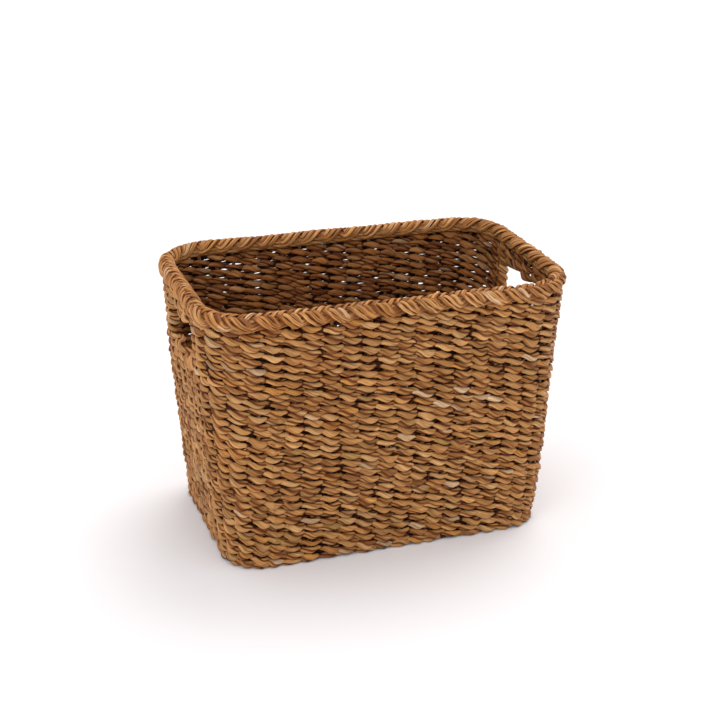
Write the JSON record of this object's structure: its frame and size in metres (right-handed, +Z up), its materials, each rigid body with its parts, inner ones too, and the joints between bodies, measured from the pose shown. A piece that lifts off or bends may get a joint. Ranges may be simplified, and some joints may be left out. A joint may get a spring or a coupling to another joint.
{
  "type": "seagrass storage basket",
  "caption": "Open rectangular storage basket of woven seagrass with rounded corners, walls that widen towards a plaited border, and a hand hole in each short wall.",
  "frame": {"origin": "middle of the basket's footprint, on the surface that it stands on", "axes": "+Z up, +X along the long side towards the right-hand short wall, +Y towards the back wall"},
  "size_m": [0.38, 0.236, 0.27],
  "materials": {
    "weft": "matte",
    "stake": "matte",
    "base_weft": "matte",
    "border": "matte"
  },
  "bodies": {
    "root": {"course_01": "weft", "course_02": "weft", "course_03": "weft", "course_04": "weft", "course_05": "weft", "course_06": "weft", "course_07": "weft", "course_08": "weft", "course_09": "weft", "course_10": "weft", "course_11": "weft", "course_12": "weft", "course_13": "weft", "course_14": "weft", "course_15": "weft", "course_16": "weft", "course_17": "weft", "course_18": "weft", "course_19": "weft", "course_20": "weft", "course_21": "weft", "course_22": "weft", "course_23": "weft", "course_24": "weft", "course_25_front": "weft", "course_25_back": "weft", "course_26_front": "weft", "course_26_back": "weft", "course_27_front": "weft", "course_27_back": "weft", "course_28_front": "weft", "course_28_back": "weft", "course_29_front": "weft", "course_29_back": "weft", "course_30": "weft", "course_31": "weft", "cross_stakes": "stake", "corner_stakes": "stake", "left_wall_stakes": "stake", "right_wall_stakes": "stake", "left_handle_stakes": "stake", "right_handle_stakes": "stake", "base_weave_lower": "base_weft", "base_weave_upper": "base_weft", "border_core": "border", "border_plait_outer": "border", "border_plait_inner": "border", "border_plait_top": "border"}
  },
  "joints": []
}
